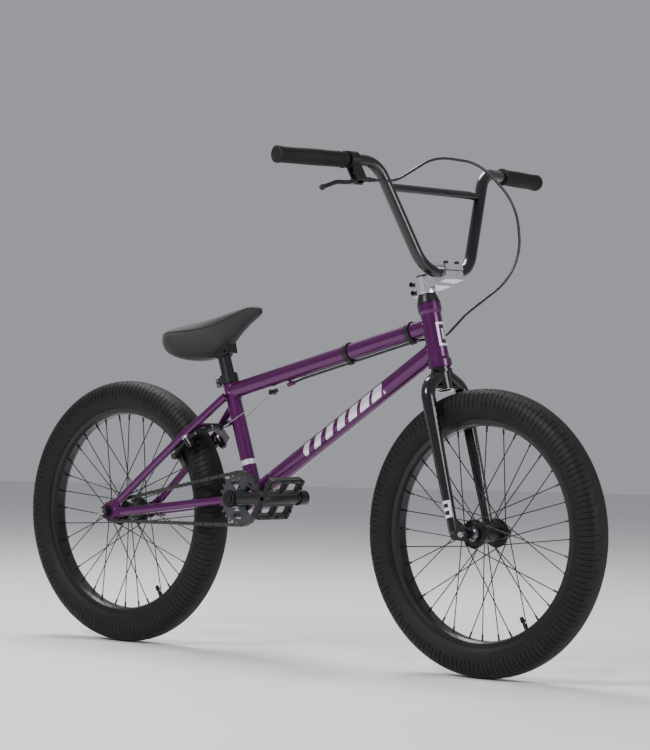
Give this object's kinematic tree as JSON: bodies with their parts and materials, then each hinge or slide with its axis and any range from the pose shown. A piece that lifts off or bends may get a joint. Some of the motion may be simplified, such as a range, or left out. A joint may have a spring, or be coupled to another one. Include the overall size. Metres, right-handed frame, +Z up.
{
  "type": "bmx bike",
  "caption": "Small-wheeled stunt bicycle with a low welded frame, high cross-braced bars, platform pedals, chain drive, spoked wheels and a cable-pulled rear rim brake",
  "frame": {"origin": "on the floor, midway between the two axles, in the bike's centre plane", "axes": "+X towards the front wheel, +Y to the rider's left, +Z up; the chain is on the -Y side"},
  "size_m": [1.42, 0.7638, 0.9391],
  "materials": {
    "frame_paint": "deep purple metallic gloss",
    "black_paint": "gloss black",
    "polished": "bright polished",
    "black_alloy": "satin black",
    "rim_black": "satin black",
    "tyre": "matt ribbed rubber",
    "grip": "matt ribbed rubber",
    "spoke": "black",
    "bearing": "bare",
    "axle": "zinc plated",
    "bolt_black": "black oxide",
    "bolt_silver": "zinc plated",
    "sprocket": "dull dark grey",
    "chain": "oiled dark steel",
    "pedal": "moulded",
    "saddle_cover": "woven cover",
    "plastic": "moulded",
    "cable": "sheathed",
    "wire": "bare",
    "brake_pad": "moulded"
  },
  "bodies": {
    "frame": {"head_tube": "frame_paint", "headset_bearings": "bearing", "top_tube": "frame_paint", "down_tube": "frame_paint", "seat_tube": "frame_paint", "bb_shell": "frame_paint", "bb_bearings": "bearing", "chain_stays": "frame_paint", "seat_stays": "frame_paint", "stay_bridges": "frame_paint", "dropouts": "frame_paint", "seat_clamp": "black_alloy", "seat_clamp_bolts": "bolt_silver", "cable_guides": "plastic", "housing_rear": "cable", "brake_bosses": "black_alloy", "rear_axle": "axle", "rear_nuts": "bolt_black", "rear_bearings": "bearing", "chain": "chain"},
    "steering": {"fork": "black_paint", "headset_cover": "black_alloy", "stem_body": "polished", "stem_cap": "polished", "stem_bolts": "bolt_black", "handlebar": "black_paint", "grip_left": "grip", "grip_right": "grip", "lever_bracket": "black_alloy", "front_axle": "axle", "front_nuts": "bolt_black", "front_bearings": "bearing", "housing_front": "cable"},
    "front_wheel": {"front_hub": "black_alloy", "front_spokes": "spoke", "front_rim": "rim_black", "front_tyre": "tyre"},
    "rear_wheel": {"rear_hub": "black_alloy", "rear_spokes": "spoke", "rear_rim": "rim_black", "rear_tyre": "tyre"},
    "driver": {"driver": "sprocket"},
    "cranks": {"sprocket": "sprocket", "crank_spindle": "black_alloy", "crank_arm_left": "black_alloy", "crank_arm_right": "black_alloy", "crank_bolts": "bolt_black", "pedal_axles": "axle"},
    "pedal_left": {"pedal_left": "pedal"},
    "pedal_right": {"pedal_right": "pedal"},
    "lever": {"brake_lever": "black_alloy"},
    "arm_left": {"brake_arm_left": "black_alloy", "shoe_left": "brake_pad"},
    "arm_right": {"brake_arm_right": "black_alloy", "shoe_right": "brake_pad"},
    "hanger": {"cable_hanger": "black_alloy", "brake_wires": "wire"},
    "post": {"seat_post": "black_alloy"},
    "saddle": {"saddle": "saddle_cover", "saddle_base": "plastic"}
  },
  "joints": [
    {"name": "steer", "type": "hinge", "parent": "frame", "child": "steering", "pos_m": [0.42102, 0, 0.25223], "axis": [-0.2588, 0, 0.9659], "range_deg": [-60, 60], "deforming": ["housing_front"]},
    {"name": "front_spin", "type": "hinge", "parent": "steering", "child": "front_wheel", "pos_m": [0.45, 0, 0.26], "axis": [0, 1, 0], "continuous": true},
    {"name": "rear_spin", "type": "hinge", "parent": "frame", "child": "rear_wheel", "pos_m": [-0.45, 0, 0.26], "axis": [0, 1, 0], "continuous": true},
    {"name": "crank_spin", "type": "hinge", "parent": "frame", "child": "cranks", "pos_m": [-0.10456, 0, 0.3], "axis": [0, 1, 0], "continuous": true, "deforming": ["chain"]},
    {"name": "driver_spin", "type": "hinge", "parent": "frame", "child": "driver", "pos_m": [-0.45, 0, 0.26], "axis": [0, 1, 0], "continuous": true},
    {"name": "pedal_spin_left", "type": "hinge", "parent": "cranks", "child": "pedal_left", "pos_m": [-0.27932, 0, 0.29084], "axis": [0, 1, 0], "continuous": true},
    {"name": "pedal_spin_right", "type": "hinge", "parent": "cranks", "child": "pedal_right", "pos_m": [0.0702, 0, 0.30916], "axis": [0, 1, 0], "continuous": true},
    {"name": "lever_pull", "type": "hinge", "parent": "steering", "child": "lever", "pos_m": [0.31074, -0.21674, 0.89824], "axis": [-0.8219, 0.1612, -0.5464], "range_deg": [0, 20], "stiffness_Nm_per_rad": 1.2, "springref_deg": -11.46, "deforming": ["brake_wires"]},
    {"name": "arm_left_close", "type": "hinge", "parent": "frame", "child": "arm_left", "pos_m": [-0.25567, 0.046, 0.41886], "axis": [-0.6329, 0, 0.7742], "range_deg": [0, 2.4]},
    {"name": "arm_right_close", "type": "hinge", "parent": "frame", "child": "arm_right", "pos_m": [-0.25567, -0.046, 0.41886], "axis": [0.6329, 0, -0.7742], "range_deg": [0, 2.4]},
    {"name": "cable_pull", "type": "slide", "parent": "frame", "child": "hanger", "axis": [0.9417, 0, 0.3366], "range_m": [0, 0.0035], "stiffness_N_per_m": 0.5, "springref_m": 0.0313},
    {"name": "seat_height", "type": "slide", "parent": "frame", "child": "post", "axis": [-0.3256, 0, 0.9455], "range_m": [-0.015, 0.045]},
    {"name": "seat_tilt", "type": "hinge", "parent": "post", "child": "saddle", "pos_m": [-0.20158, 0, 0.58176], "axis": [0, 1, 0], "range_deg": [-10, 10]}
  ],
  "couplings": [
    {"joint": "driver_spin", "follows": "crank_spin", "ratio": 2.7778},
    {"joint": "arm_left_close", "follows": "lever_pull", "ratio": 0.12},
    {"joint": "arm_right_close", "follows": "lever_pull", "ratio": 0.12},
    {"joint": "cable_pull", "follows": "lever_pull", "m_per_rad": 0.010027}
  ]
}
